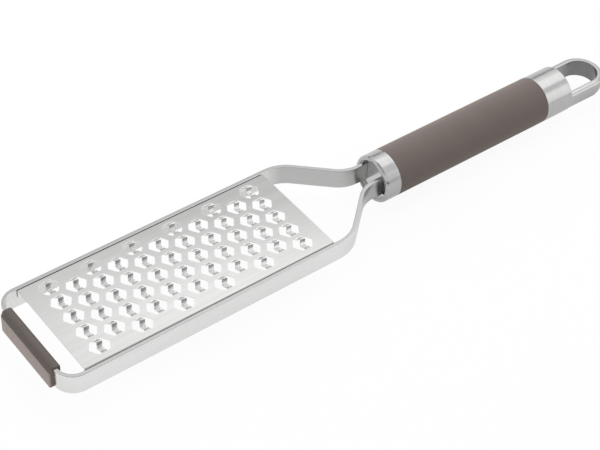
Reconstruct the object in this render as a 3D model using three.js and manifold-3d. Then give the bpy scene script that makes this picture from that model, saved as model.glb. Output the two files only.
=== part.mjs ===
// Hand grater: a pierced steel plate held in a bent steel strip, with a round grip and a hanging loop.
// Millimetres. +X runs from the front foot to the hanging loop, +Z points out of the cutting side.
// The head is laid out from the middle of the plate's front edge, on its top face.
import * as THREE from 'three';
import { mergeGeometries, mergeVertices } from 'three/addons/utils/BufferGeometryUtils.js';
import Module from 'manifold-3d';

const wasm = await Module();
wasm.setup();

// Clearances
const seamGap = 0.1; // parts that are butted together
const weldGap = 0.3; // the plate's sides to the strip, bridged by welds
const slideGap = 0.3; // a part that passes through or sits inside another

// Grating plate
const plateLength = 136;
const plateWidth = 56.8;
const sheetThickness = 0.6;
const flangeDepth = 5;
const flangeBendRadius = 0.5; // middle of the sheet

// Hexagonal holes, in staggered columns along the plate
const holeLength = 10.9; // along X, corner to corner
const holeWidth = 8.5; // along Y, flat to flat
const columnPitch = 11.1;
const rowPitch = 10.6;
const endMargin = 11.5; // least distance from a plate end to a hole's centre
const sideMargin = 6.8; // least distance from a plate side to a hole's centre
const patternOffset = 0.75; // middle of the rows from the plate's middle, towards +Y

// Cutting band folded across each hole
const bandWidth = 2.65;
const bandThickness = 0.5; // drawn a little thinner than the sheet
const bandRise = 3; // upper fold above the sheet, before it is rounded
const bandDip = 1.5; // lower fold below the sheet, before it is rounded
const bandStepOffset = 0.15; // upright step from the hole's centre, towards +Y
const bandFoldRadius = 0.5; // middle of the sheet
const bandRootRun = 0.35; // each end stays level this far into the hole
const bandLap = 0.4; // each end runs this far into the sheet

// Frame strip, a flat bar on edge
const stripThickness = 2;
const stripHeight = 10.8; // down from the plate's top face
const frontOpening = 9.1; // plate's front edge to the front bar
const frontCornerRadius = 9; // middle of the bar, as are the next two
const armBendRadius = 19;
const tangBendRadius = 16;
const armOverrun = 10; // plate's rear edge to the corner where an arm turns in
const shoulderLength = 25.5; // along X, between the two bends of an arm
const tangOpening = 11; // between the two tangs
const tangRun = 10.3; // tang's corner to the handle's front
const tangDepth = 14; // tang behind the ferrule's floor

// Front foot, a channel pushed over the front bar
const footWidth = 41.6;
const footFrontWall = 2;
const footTopWall = 0.8;
const footLipWall = 1.8;
const footLipDepth = 4.2; // down from the foot's top
const footOverhang = 0.4; // front wall below the strip
const footCornerRadius = 0.7;

// Handle, from the ferrule's front to the end of the loop
const handleRadius = 12.5;
const handleDrop = 6.2; // axis below the plate's top face
const ferruleLength = 9.2;
const ferruleWall = 2.2;
const ferruleLipRadius = 1.7;
const cupDepth = 1.9;
const ferruleFloor = 4.3;
const gripLength = 98.8;
const gripWall = 1.8;
const tieRodRadius = 2;
const rodInBlock = 9;
const rodInCap = 8;
const capLength = 17.1;
const capSocketDepth = 3;

// Hanging loop, the cap's round bar cut flat above and below, with an eye through it
const loopReach = 29.9; // cap's rear face to the loop's end
const loopHeight = 10.1;
const loopDrop = 1.2; // middle of the band below the handle's axis
const eyeWidth = 17.9;

// Fineness of round shapes
const roundSegments = 48;
const rodSegments = 20;
const arcStep = Math.PI / 15;
const foldStep = Math.PI / 5;
const weldTolerance = 1e-4;

// Sizes that follow from the ones above
const armOpening = plateWidth + 2 * weldGap;
const armY = (armOpening + stripThickness) / 2;
const tangY = (tangOpening + stripThickness) / 2;
const barX = -frontOpening - stripThickness / 2;
const shoulderX = plateLength + armOverrun;
const tangX = shoulderX + shoulderLength;
const handleX = tangX + tangRun;
const stripMiddle = -stripHeight / 2;
const floorRear = cupDepth + ferruleFloor;
const gripBore = handleRadius - gripWall;
const coreRadius = gripBore - slideGap;
const gripX = ferruleLength + seamGap;
const capX = gripX + gripLength + seamGap;
const coreX = floorRear + seamGap;
const coreEnd = capX + capSocketDepth - seamGap;
const tangEnd = floorRear + tangDepth;
const blockEnd = tangEnd + slideGap;
const capRear = capX + capLength;
const loopEnd = capRear + loopReach;
const tangMiddle = stripMiddle + handleDrop; // height of the tangs above the handle's axis
const footFront = barX - stripThickness / 2 - seamGap - footFrontWall;

const xAxis = new THREE.Vector3(1, 0, 0);
const yAxis = new THREE.Vector3(0, 1, 0);
const zAxis = new THREE.Vector3(0, 0, 1);

// Turning a closed geometry into a solid for cutting and joining, and back

function toSolid(geometry) {
  const bare = new THREE.BufferGeometry();
  bare.setAttribute('position', geometry.getAttribute('position'));
  bare.setIndex(geometry.getIndex());
  const welded = mergeVertices(bare, weldTolerance);
  const corners = welded.getIndex().array;
  const triangles = [];
  for (let i = 0; i < corners.length; i += 3) {
    const [a, b, c] = corners.slice(i, i + 3);
    if (a !== b && b !== c && c !== a) triangles.push(a, b, c);
  }
  return new wasm.Manifold(new wasm.Mesh({
    numProp: 3,
    vertProperties: new Float32Array(welded.getAttribute('position').array),
    triVerts: new Uint32Array(triangles),
  }));
}

function toGeometry(solid) {
  const mesh = solid.getMesh();
  const geometry = new THREE.BufferGeometry();
  geometry.setAttribute('position', new THREE.BufferAttribute(new Float32Array(mesh.vertProperties), 3));
  geometry.setIndex(new THREE.BufferAttribute(new Uint32Array(mesh.triVerts), 1));
  geometry.computeVertexNormals();
  return geometry;
}

// Outlines

function direction(from, to) {
  return to.clone().sub(from).normalize();
}

// A rounded corner between two straight runs, or the bare corner where the radius is zero.
function roundCorner(before, corner, after, radius, step) {
  if (radius <= 0) return [corner];
  const incoming = direction(before, corner);
  const outgoing = direction(corner, after);
  const bend = Math.atan2(incoming.cross(outgoing), incoming.dot(outgoing));
  const tangent = radius * Math.tan(Math.abs(bend) / 2);
  const start = corner.clone().addScaledVector(incoming, -tangent);
  const inward = new THREE.Vector2(-incoming.y, incoming.x).multiplyScalar(Math.sign(bend) * radius);
  const centre = start.clone().add(inward);
  const steps = Math.ceil(Math.abs(bend) / step);
  const points = [];
  for (let i = 0; i <= steps; i += 1) {
    points.push(start.clone().rotateAround(centre, (bend * i) / steps));
  }
  return points;
}

// A closed outline from corners [x, y, radius].
function roundedOutline(corners) {
  const places = corners.map(([x, y]) => new THREE.Vector2(x, y));
  const count = corners.length;
  return new THREE.Shape(places.flatMap((place, i) => {
    const before = places[(i + count - 1) % count];
    const after = places[(i + 1) % count];
    return roundCorner(before, place, after, corners[i][2], arcStep);
  }));
}

// One side of a bent strip: its middle line [x, y, bend radius], moved sideways by an offset.
function stripSide(line, offset, step) {
  const places = line.map(([x, y]) => new THREE.Vector2(x, y));
  const last = places.length - 1;
  const runs = places.slice(1).map((place, i) => direction(places[i], place));
  const normals = runs.map((run) => new THREE.Vector2(-run.y, run.x));
  const moved = places.map((place, i) => {
    const before = normals[Math.max(i - 1, 0)];
    const after = normals[Math.min(i, last - 1)];
    const mitre = before.clone().add(after).multiplyScalar(offset / (1 + before.dot(after)));
    return place.clone().add(mitre);
  });
  return moved.flatMap((place, i) => {
    if (i === 0 || i === last) return [place];
    const side = Math.sign(runs[i - 1].cross(runs[i]));
    const radius = line[i][2] > 0 ? line[i][2] - side * offset : 0;
    return roundCorner(moved[i - 1], place, moved[i + 1], radius, step);
  });
}

function bentStrip(line, thickness, step) {
  const left = stripSide(line, thickness / 2, step);
  const right = stripSide(line, -thickness / 2, step);
  return new THREE.Shape([...right, ...left.reverse()]);
}

// Straight and turned bodies

function extrude(shape, depth) {
  return new THREE.ExtrudeGeometry(shape, { depth, bevelEnabled: false });
}

// An outline in X and Y, raised from a height.
function extrudeUp(shape, bottom, height) {
  return extrude(shape, height).translate(0, 0, bottom);
}

// An outline in Y and Z, drawn along X.
function extrudeAlongX(shape, start, length) {
  const turned = new THREE.Matrix4().makeBasis(yAxis, zAxis, xAxis);
  return extrude(shape, length).applyMatrix4(turned).translate(start, 0, 0);
}

// An outline in X and Z, drawn along Y and centred.
function extrudeAlongY(shape, width) {
  const turned = new THREE.Matrix4().makeBasis(xAxis, zAxis, yAxis.clone().negate());
  return extrude(shape, width).applyMatrix4(turned).translate(0, width / 2, 0);
}

// A profile of [x, radius] points, turned about the X axis.
function lathe(profile, segments = roundSegments) {
  const points = profile.map(([x, radius]) => new THREE.Vector2(radius, x));
  const turned = new THREE.Matrix4().makeBasis(zAxis, xAxis, yAxis);
  return new THREE.LatheGeometry(points, segments).applyMatrix4(turned);
}

function turnedRod(start, end, radius, segments) {
  return lathe([[start, 0], [start, radius], [end, radius], [end, 0]], segments);
}

// Points of an arc about a centre, from one angle to another.
function arcPoints(centreX, centreY, radius, from, to) {
  const steps = Math.ceil(Math.abs(to - from) / arcStep);
  return Array.from({ length: steps + 1 }, (_, i) => {
    const angle = from + ((to - from) * i) / steps;
    return [centreX + radius * Math.cos(angle), centreY + radius * Math.sin(angle)];
  });
}

function boxBetween(low, high) {
  const size = high.map((value, i) => value - low[i]);
  const middle = high.map((value, i) => (value + low[i]) / 2);
  return new THREE.BoxGeometry(...size).translate(...middle);
}

// Head

function holeCentres() {
  const columns = Math.floor((plateLength - 2 * endMargin) / columnPitch) + 1;
  const rows = Math.floor((plateWidth - 2 * sideMargin) / rowPitch) + 1;
  const firstX = (plateLength - (columns - 1) * columnPitch) / 2;
  const centres = [];
  for (let column = 0; column < columns; column += 1) {
    const count = rows - (column % 2);
    for (let row = 0; row < count; row += 1) {
      centres.push([firstX + column * columnPitch, patternOffset + (row - (count - 1) / 2) * rowPitch]);
    }
  }
  return centres;
}

function hexagonPrism(x, y) {
  const tip = holeLength / 2;
  const side = holeWidth / 2;
  const corners = [
    [tip, 0], [tip / 2, side], [-tip / 2, side],
    [-tip, 0], [-tip / 2, -side], [tip / 2, -side],
  ];
  const outline = corners.map(([dx, dy]) => new THREE.Vector2(x + dx, y + dy));
  return extrudeUp(new THREE.Shape(outline), -2 * sheetThickness, 3 * sheetThickness);
}

function cuttingBand(x, y) {
  const end = holeWidth / 2 + bandLap;
  const root = holeWidth / 2 - bandRootRun;
  const middle = -sheetThickness / 2;
  const line = [
    [y - end, middle, 0],
    [y - root, middle, 0],
    [y + bandStepOffset, middle - bandDip, bandFoldRadius],
    [y + bandStepOffset, middle + bandRise, bandFoldRadius],
    [y + root, middle, 0],
    [y + end, middle, 0],
  ];
  return extrudeAlongX(bentStrip(line, bandThickness, foldStep), x - bandWidth / 2, bandWidth);
}

function graterPlate() {
  const side = (plateWidth - sheetThickness) / 2;
  const middle = -sheetThickness / 2;
  const line = [
    [-side, -flangeDepth, 0],
    [-side, middle, flangeBendRadius],
    [side, middle, flangeBendRadius],
    [side, -flangeDepth, 0],
  ];
  const sheet = toSolid(extrudeAlongX(bentStrip(line, sheetThickness, arcStep), 0, plateLength));
  const centres = holeCentres();
  const holes = toSolid(mergeGeometries(centres.map(([x, y]) => hexagonPrism(x, y))));
  const bands = toSolid(mergeGeometries(centres.map(([x, y]) => cuttingBand(x, y))));
  return toGeometry(sheet.subtract(holes).add(bands));
}

function frameStrip() {
  const arm = [
    [barX, armY, frontCornerRadius],
    [shoulderX, armY, armBendRadius],
    [tangX, tangY, tangBendRadius],
    [handleX + tangEnd, tangY, 0],
  ];
  const mirrored = arm.map(([x, y, radius]) => [x, -y, radius]).reverse();
  const line = [...mirrored, ...arm];
  return extrudeUp(bentStrip(line, stripThickness, arcStep), -stripHeight, stripHeight);
}

function frontFoot() {
  const outerFace = footFront + footFrontWall;
  const innerFace = barX + stripThickness / 2 + seamGap;
  const top = seamGap + footTopWall;
  const bottom = -stripHeight - footOverhang;
  const section = roundedOutline([
    [footFront, bottom, footCornerRadius],
    [outerFace, bottom, 0],
    [outerFace, seamGap, 0],
    [innerFace, seamGap, 0],
    [innerFace, top - footLipDepth, 0],
    [innerFace + footLipWall, top - footLipDepth, 0],
    [innerFace + footLipWall, top, footCornerRadius],
    [footFront, top, footCornerRadius],
  ]);
  return extrudeAlongY(section, footWidth);
}

// Handle, measured from the ferrule's front, on the handle's axis

function frontFerrule() {
  const cupRadius = handleRadius - ferruleWall;
  const lip = Math.min(ferruleLipRadius, ferruleWall);
  const body = toSolid(lathe([
    [cupDepth, 0],
    [cupDepth, cupRadius],
    [0, cupRadius],
    ...arcPoints(lip, handleRadius - lip, lip, Math.PI, Math.PI / 2),
    [ferruleLength, handleRadius],
    [ferruleLength, gripBore],
    [floorRear, gripBore],
    [floorRear, 0],
  ]));
  const halfWidth = stripThickness / 2 + slideGap;
  const halfHeight = stripHeight / 2 + slideGap;
  const slots = [-tangY, tangY].map((y) => toSolid(boxBetween(
    [cupDepth - ferruleFloor, y - halfWidth, tangMiddle - halfHeight],
    [floorRear + ferruleFloor, y + halfWidth, tangMiddle + halfHeight],
  )));
  return toGeometry(body.subtract(slots[0]).subtract(slots[1]));
}

function gripSleeve() {
  const end = gripX + gripLength;
  return lathe([
    [gripX, gripBore],
    [gripX, handleRadius],
    [end, handleRadius],
    [end, gripBore],
    [gripX, gripBore],
  ]);
}

function handleCore() {
  const body = toSolid(turnedRod(coreX, coreEnd, coreRadius, roundSegments));
  const pocketWidth = tangOpening / 2 + stripThickness + slideGap;
  const pocketHeight = stripHeight / 2 + slideGap;
  const pocket = toSolid(boxBetween(
    [coreX - slideGap, -pocketWidth, tangMiddle - pocketHeight],
    [blockEnd, pocketWidth, tangMiddle + pocketHeight],
  ));
  const bore = toSolid(turnedRod(coreX, coreEnd + slideGap, tieRodRadius + slideGap, rodSegments));
  return toGeometry(body.subtract(pocket).subtract(bore));
}

function tangBlock() {
  const halfWidth = tangOpening / 2 - seamGap;
  const block = toSolid(boxBetween(
    [floorRear + slideGap, -halfWidth, tangMiddle - stripHeight / 2],
    [tangEnd, halfWidth, tangMiddle + stripHeight / 2],
  ));
  const hole = toSolid(turnedRod(
    tangEnd - rodInBlock - slideGap, blockEnd, tieRodRadius + slideGap, rodSegments,
  ));
  return toGeometry(block.subtract(hole));
}

function tieRod() {
  return turnedRod(tangEnd - rodInBlock, capX + capSocketDepth + rodInCap, tieRodRadius, rodSegments);
}

function rearCap() {
  const shoulder = loopEnd - handleRadius;
  const bar = toSolid(lathe([
    [capX + capSocketDepth, 0],
    [capX + capSocketDepth, gripBore],
    [capX, gripBore],
    [capX, handleRadius],
    ...arcPoints(shoulder, 0, handleRadius, Math.PI / 2, 0),
  ]));
  const clear = 2 * handleRadius;
  const above = toSolid(boxBetween(
    [capRear, -clear, -loopDrop + loopHeight / 2],
    [loopEnd + clear, clear, clear],
  ));
  const below = toSolid(boxBetween(
    [capRear, -clear, -clear],
    [loopEnd + clear, clear, -loopDrop - loopHeight / 2],
  ));
  const eyeOutline = [
    [capRear, -eyeWidth / 2],
    ...arcPoints(shoulder, 0, eyeWidth / 2, -Math.PI / 2, Math.PI / 2),
    [capRear, eyeWidth / 2],
  ].map(([x, y]) => new THREE.Vector2(x, y));
  const eye = toSolid(extrudeUp(new THREE.Shape(eyeOutline), -handleRadius, 2 * handleRadius));
  const rodHole = toSolid(turnedRod(
    capX, capX + capSocketDepth + rodInCap + slideGap, tieRodRadius + slideGap, rodSegments,
  ));
  return toGeometry(bar.subtract(above).subtract(below).subtract(eye).subtract(rodHole));
}

// Assembly

const steel = { color: 0xc9c9c8, roughness: 0.32, metalness: 1 };
const taupe = { color: 0x71665f, roughness: 0.6, metalness: 0 };
const innerPlastic = { color: 0x4a4745, roughness: 0.7, metalness: 0 };

function addPiece(group, name, geometry, finish) {
  const mesh = new THREE.Mesh(geometry, new THREE.MeshStandardMaterial(finish));
  mesh.name = name;
  group.add(mesh);
}

const head = new THREE.Group();
addPiece(head, 'grater_plate', graterPlate(), steel);
addPiece(head, 'frame_strip', frameStrip(), steel);
addPiece(head, 'front_foot', frontFoot(), taupe);

const handle = new THREE.Group();
handle.position.set(handleX, 0, -handleDrop);
addPiece(handle, 'front_ferrule', frontFerrule(), steel);
addPiece(handle, 'tang_block', tangBlock(), steel);
addPiece(handle, 'tie_rod', tieRod(), steel);
addPiece(handle, 'handle_core', handleCore(), innerPlastic);
addPiece(handle, 'grip_sleeve', gripSleeve(), taupe);
addPiece(handle, 'rear_cap', rearCap(), steel);

// The origin is under the middle of the whole grater, level with the handle's underside.
const grater = new THREE.Group();
grater.position.set(-(footFront + handleX + loopEnd) / 2, 0, handleDrop + handleRadius);
grater.add(head, handle);

export default grater;
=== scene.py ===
import math

import bmesh
import bpy
from bpy.props import FloatProperty, FloatVectorProperty, IntProperty, PointerProperty
from mathutils import Matrix, Quaternion, Vector


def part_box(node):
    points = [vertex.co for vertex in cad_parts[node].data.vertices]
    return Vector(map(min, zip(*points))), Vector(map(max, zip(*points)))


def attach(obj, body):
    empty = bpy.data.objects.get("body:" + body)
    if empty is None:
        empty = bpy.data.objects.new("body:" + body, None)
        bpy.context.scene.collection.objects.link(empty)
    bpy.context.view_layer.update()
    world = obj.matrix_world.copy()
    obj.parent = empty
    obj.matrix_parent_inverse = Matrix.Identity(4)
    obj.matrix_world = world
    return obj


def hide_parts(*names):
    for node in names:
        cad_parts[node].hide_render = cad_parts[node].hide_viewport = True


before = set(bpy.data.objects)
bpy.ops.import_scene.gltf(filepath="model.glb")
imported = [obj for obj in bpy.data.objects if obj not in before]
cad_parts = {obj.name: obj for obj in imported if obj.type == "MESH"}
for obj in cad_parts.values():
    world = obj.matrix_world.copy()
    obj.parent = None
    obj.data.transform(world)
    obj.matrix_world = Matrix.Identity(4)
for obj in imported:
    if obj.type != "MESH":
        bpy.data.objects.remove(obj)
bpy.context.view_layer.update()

bl_info = {
    "name": "Hand grater",
    "version": (1, 0, 0),
    "blender": (4, 5, 0),
    "location": "3D View > Sidebar > Grater",
    "description": "Dresses a hand grater's solids: plate, strip frame, foot, collar, grip and hanging loop",
    "category": "Add Mesh",
}

BODY = "root"
MM = 0.001

# Places that the solids give
plate_low, plate_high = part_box("grater_plate")
strip_low, strip_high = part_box("frame_strip")
foot_low, foot_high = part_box("front_foot")
ferrule_low, ferrule_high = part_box("front_ferrule")
grip_low, grip_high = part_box("grip_sleeve")
cap_low, cap_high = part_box("rear_cap")

HANDLE_RADIUS = (grip_high.z - grip_low.z) / 2
HANDLE_AXIS = (grip_high.z + grip_low.z) / 2
PLATE_TOP = strip_high.z
PLATE_REAR = plate_high.x

# Fineness of round shapes
TURNED_STEPS = 96
LOOP_STEPS = 48
EDGE_STEPS = 6
FILLET_STEPS = 5
COARSE_STEP = math.radians(30)
HOLE_STEP = math.radians(20)
CORNER_STEP = math.radians(15)
BAND_STEP = math.radians(12)
BEND_STEP = math.radians(5)
LEAST_EDGE = 0.05 * MM

# Points closer than this are one, and edges sharper than this stay sharp
WELD = 0.002 * MM
SHARP_ANGLE = math.radians(40)

# Attribute of the meshes' points that holds painted light and shade, making a material lighter or darker
PAINTED_LIGHT = "painted_light_change"


# Settings

def length(name, description, millimetres):
    return FloatProperty(
        name=name, description=description, default=millimetres * MM,
        unit="LENGTH", subtype="DISTANCE", precision=5,
    )


def colour(name, description, rgb):
    return FloatVectorProperty(
        name=name, description=description, default=rgb, size=3, subtype="COLOR", min=0.0, max=1.0
    )


# A factor on a material's tone, used for painted light and shade
def shade(name, description, value):
    return FloatProperty(name=name, description=description, default=value, min=0.0, max=2.0)


def factor(name, description, value):
    return FloatProperty(
        name=name, description=description, default=value, subtype="FACTOR", min=0.0, max=1.0
    )


def brightness(name, description, value):
    return FloatProperty(name=name, description=description, default=value, min=0.0)


def angle(name, description, degrees):
    return FloatProperty(
        name=name, description=description, default=math.radians(degrees), subtype="ANGLE"
    )


class PlateSettings(bpy.types.PropertyGroup):
    """The grating plate, its holes and the bands folded across them"""

    sheet: length("Sheet", "Thickness of the sheet", 0.5)
    flange_bend: length("Flange bend", "Bend radius of the turned-down sides, at mid-sheet", 0.3)
    columns: IntProperty(name="Columns", description="Columns of holes along the plate", default=11, min=1)
    rows: IntProperty(name="Rows", description="Holes in a full column", default=5, min=2)
    column_pitch: length("Column pitch", "Distance between columns", 11.1)
    row_pitch: length("Row pitch", "Distance between holes in a column", 10.6)
    row_offset: length("Row offset", "Middle of the rows from the plate's middle", 0.75)
    hole_length: length("Hole length", "Hexagonal hole from corner to corner, along the plate", 10.9)
    hole_width: length("Hole width", "Hexagonal hole from flat to flat, across the plate", 8.5)
    hole_corner: length("Hole corner", "Rounding of the hole's corners", 0.9)
    band_width: length("Band width", "Width of the folded band", 2.65)
    near_fillet: length("Near fillet", "Rounding where the lower end of the band leaves the sheet", 0.4)
    far_fillet: length("Far fillet", "Rounding where the upper end of the band leaves the sheet", 0.3)
    band_rise: length("Band rise", "Height of the upper fold before it is rounded", 3.0)
    band_dip: length("Band dip", "Depth of the lower fold before it is rounded", 1.35)
    step_offset: length("Step offset", "Upright step of the band from the hole's middle", 0.15)
    # Height on the step where its painted light gives way to painted shade
    step_paint_split: length("Step bright", "Height above mid-sheet up to which the step is bright", 0.9)
    peak_fold: length("Peak fold", "Radius of the band's upper fold", 0.32)
    dip_fold: length("Dip fold", "Radius of the band's lower fold", 0.36)
    near_run: length("Near run", "From the hole's near edge to where the band's lower end turns down", 0.65)
    near_root: length("Near root", "Radius where the lower end of the band turns down", 3.5)
    far_run: length("Far run", "How far the upper end of the band stays level", 0.7)
    far_root: length("Far root", "Radius where the upper end of the band turns up", 0.2)
    rim: length("Rim", "Rounding of the cut edges", 0.07)
    tone: colour("Tone", "Colour of the plate's steel", (0.49, 0.49, 0.486))
    # Painted light on the bands and the cut edges, and painted shade on the upper part of the step
    band_painted_light: shade("Band shade", "Tone of the bands and the cut edges, next to the sheet's", 1.67)
    step_painted_shade: shade("Step shade", "Tone of the upper part of a band's step, next to the sheet's", 0.82)
    roughness: factor("Roughness", "How dull the plate is", 0.09)


class StripSettings(bpy.types.PropertyGroup):
    """The flat bar bent round the plate"""

    thickness: length("Thickness", "Thickness of the bar", 2.0)
    edge: length("Edge", "Rounding of the bar's edges", 0.3)
    front_corner: length("Front corner", "Bend at the front, at the middle of the bar", 9.0)
    arm_bend: length("Arm bend", "Bend where an arm turns in", 19.0)
    tang_bend: length("Tang bend", "Bend where an arm turns towards the handle", 16.0)
    arm_overrun: length("Arm overrun", "From the plate's rear edge to where an arm turns in", 10.0)
    shoulder: length("Shoulder", "Length between the two bends of an arm, along the grater", 25.5)
    tang_opening: length("Tang opening", "Between the two tangs", 11.0)
    tone: colour("Tone", "Colour of the bar's rolled faces", (0.79, 0.79, 0.785))
    # Painted shade on the bar's cut edges, its tangs and the shoulders' inner faces
    edge_painted_shade: shade("Edge shade", "Tone of the bar's cut edges, next to its rolled faces'", 0.52)
    tang_painted_shade: shade("Tang shade", "Tone of the tangs, next to the bar's rolled faces'", 0.52)
    inner_painted_shade: shade("Inner shade", "Tone of the shoulders' inner faces, next to the rolled faces'", 0.65)
    roughness: factor("Roughness", "How dull the bar is", 0.24)


class FootSettings(bpy.types.PropertyGroup):
    """The plastic channel over the front bar"""

    front_wall: length("Front wall", "Thickness of the front wall", 2.1)
    lip_wall: length("Lip wall", "Thickness of the rear lip", 1.4)
    lip_depth: length("Lip depth", "Depth of the rear lip", 4.2)
    top_wall: length("Top wall", "Thickness over the bar", 0.55)
    ramp_drop: length("Ramp drop", "Lower edge of the ramp at the top's front, below the rear edge", 2.5)
    ramp_top: length("Ramp top", "Upper edge of the ramp, below the rear edge", 0.35)
    ramp_width: length("Ramp width", "Width of the ramp at the top's front", 1.1)
    front_edge: length("Front edge", "Rounding of the ramp's edges", 0.25)
    rear_edge: length("Rear edge", "Rounding of the upper rear edge", 1.6)
    lower_edge: length("Lower edge", "Rounding of the lower edges", 0.3)
    end_edge: length("End edge", "Rounding of the ends", 0.9)
    tone: colour("Tone", "Colour of the foot", (0.126, 0.103, 0.093))
    # Painted shade on the ramp and on the top behind it
    ramp_painted_shade: shade("Ramp shade", "Tone of the ramp, next to the foot's", 0.28)
    top_painted_shade: shade("Top shade", "Tone of the top behind the ramp, next to the foot's", 0.6)
    roughness: factor("Roughness", "How dull the foot is", 0.5)


class HandleSettings(bpy.types.PropertyGroup):
    """The collar, grip and end cap on the handle's axis"""

    collar_wall: length("Collar wall", "Wall of the collar's cup", 2.2)
    collar_lip: length("Collar lip", "Rounding of the collar's lip", 1.7)
    cup_depth: length("Cup depth", "Depth of the cup that the tangs enter", 1.9)
    cup_floor: length("Cup floor", "Thickness of the cup's floor", 4.3)
    slot_clearance: length("Slot clearance", "Gap round a tang in the cup's floor", 0.15)
    slot_outer: length("Slot outer gap", "Width of the recess at a tang's outer side", 1.2)
    slot_recess: length("Slot recess", "Depth of the recess at a tang's outer side", 0.8)
    grip_wall: length("Grip wall", "Thickness of the grip", 1.8)
    seam_edge: length("Seam edge", "Rounding of the edges at a seam", 0.15)
    cap_length: length("Cap length", "Round part of the end cap", 17.1)
    cap_edge: length("Cap edge", "Rounding of the step behind the cap", 0.9)
    socket: length("Socket", "Depth of the cap's socket", 3.0)
    rod_hole: length("Rod hole", "Radius of the hole for the rod", 2.3)
    rod_depth: length("Rod depth", "Depth of the hole for the rod", 8.3)
    loop_height: length("Loop height", "Height of the hanging loop", 10.1)
    loop_drop: length("Loop drop", "Middle of the loop below the handle's axis", 1.2)
    eye_width: length("Eye width", "Width of the eye", 17.9)
    loop_edge: length("Loop edge", "Rounding of the loop's outer edges", 2.2)
    eye_edge: length("Eye edge", "Rounding of the eye's edges", 0.3)
    steel_tone: colour("Steel tone", "Colour of the turned steel", (0.45, 0.45, 0.447))
    # Painted shade on the loop's lower edge and the eye's inner wall, and painted light inside the cup
    loop_painted_shade: shade("Loop shade", "Tone of the loop's lower edge, next to the turned steel's", 0.55)
    cup_painted_light: shade("Cup shade", "Tone of the cup's inside, next to the turned steel's", 1.35)
    eye_painted_shade: shade("Eye shade", "Tone of the eye's inner wall, next to the turned steel's", 0.45)
    steel_roughness: factor("Steel roughness", "How dull the turned steel is", 0.2)
    grip_tone: colour("Grip tone", "Colour of the grip", (0.152, 0.124, 0.111))
    grip_roughness: factor("Grip roughness", "How dull the grip is", 0.55)
    inner_tone: colour("Inner tone", "Colour of the machined steel inside", (0.52, 0.52, 0.52))
    inner_roughness: factor("Inner roughness", "How dull the machined steel is", 0.4)
    core_tone: colour("Core tone", "Colour of the core inside the grip", (0.07, 0.063, 0.06))
    core_roughness: factor("Core roughness", "How dull the core is", 0.6)


class StageSettings(bpy.types.PropertyGroup):
    """Floor, light and camera"""

    floor_tone: colour("Floor tone", "Colour of the floor", (0.9, 0.9, 0.9))
    shadow: factor("Shadow", "Share of the floor that shows the shadow", 0.06)
    mirrored_shadow: factor("Mirrored shadow", "Share of the shadow in the floor that metal mirrors", 0.4)
    ambient: brightness("Ambient", "Light from all round", 0.27)
    overhead: brightness("Overhead", "Brightness of the light overhead", 0.8)
    top: brightness("Top", "Brightness of the light above the grip", 1.6)
    side: brightness("Side", "Brightness of the light at the foot's side", 19.0)
    rear: brightness("Rear", "Brightness of the light behind", 4.0)
    card: brightness("Card", "Brightness of the dark cards", 0.05)
    eye: FloatVectorProperty(
        name="Eye", description="Where the camera stands", subtype="XYZ",
        default=(-0.38649, -0.43378, 0.55662),
    )
    azimuth: angle("Azimuth", "Camera round the grater", -39.918)
    elevation: angle("Elevation", "Camera above the floor", 44.25)
    roll: angle("Roll", "Camera's tilt sideways", 3.763)
    lens: FloatProperty(name="Lens", description="Focal length in millimetres", default=98.31)


# Lines and outlines

def round_corner(before, corner, after, radius, step):
    """Points of an arc that rounds one corner, or the bare corner where the radius is zero."""
    if radius <= 0:
        return [corner]
    arriving = (corner - before).normalized()
    leaving = (after - corner).normalized()
    turn = math.atan2(arriving.x * leaving.y - arriving.y * leaving.x, arriving.dot(leaving))
    side = math.copysign(1.0, turn)
    start = corner - arriving * (radius * math.tan(abs(turn) / 2))
    centre = start + Vector((-arriving.y, arriving.x)) * (side * radius)
    steps = max(1, math.ceil(abs(turn) / step))
    return [centre + Matrix.Rotation(turn * i / steps, 2) @ (start - centre) for i in range(steps + 1)]


def rounded_line(corners, step=CORNER_STEP, closed=False):
    """A line through corners (a, b, radius), with its corners rounded."""
    places = [Vector((a, b)) for a, b, _ in corners]
    count = len(places)
    points = []
    for i, place in enumerate(places):
        radius = corners[i][2] if closed or 0 < i < count - 1 else 0
        points += round_corner(places[i - 1], place, places[(i + 1) % count], radius, step)
    return points


def arc(centre, radius, start, end, step=CORNER_STEP):
    steps = max(1, math.ceil(abs(end - start) / step))
    angles = [start + (end - start) * i / steps for i in range(steps + 1)]
    return [Vector((centre[0] + radius * math.cos(a), centre[1] + radius * math.sin(a))) for a in angles]


def quarter_turn(steps):
    """Even angles from none to a right angle."""
    return [math.pi / 2 * i / steps for i in range(steps + 1)]


# Skins

def distances(points, closed=False):
    """Running length along a row of points."""
    total = [0.0]
    for a, b in zip(points, points[1:] + points[:1] if closed else points[1:]):
        total.append(total[-1] + (b - a).length)
    return total


def loft(bm, rings, loop=False, capped=False):
    """Joins equal closed rings into a skin. Its UV map holds metres along the run and round the ring."""
    uv = bm.loops.layers.uv.verify()
    rows = [[bm.verts.new(point) for point in ring] for ring in rings]
    along = distances([ring[0] for ring in rings], loop)
    around = distances(rings[0], True)
    count = len(rings[0])
    for i in range(len(rows) if loop else len(rows) - 1):
        row, after = rows[i], rows[(i + 1) % len(rows)]
        for j in range(count):
            k = (j + 1) % count
            face = bm.faces.new((row[j], row[k], after[k], after[j]))
            places = ((i, j), (i, j + 1), (i + 1, j + 1), (i + 1, j))
            for corner, (a, b) in zip(face.loops, places):
                corner[uv].uv = (along[a], around[b])
    if capped:
        bm.faces.new(rows[0])
        bm.faces.new(rows[-1])


def turned(profile, steps=TURNED_STEPS):
    """A closed outline (x, radius) turned about the handle's axis."""
    bm = bmesh.new()
    rings = []
    for i in range(steps):
        angle = math.tau * i / steps
        side, up = math.sin(angle), math.cos(angle)
        rings.append([Vector((x, radius * side, HANDLE_AXIS + radius * up)) for x, radius in profile])
    loft(bm, rings, loop=True)
    return bm


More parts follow.
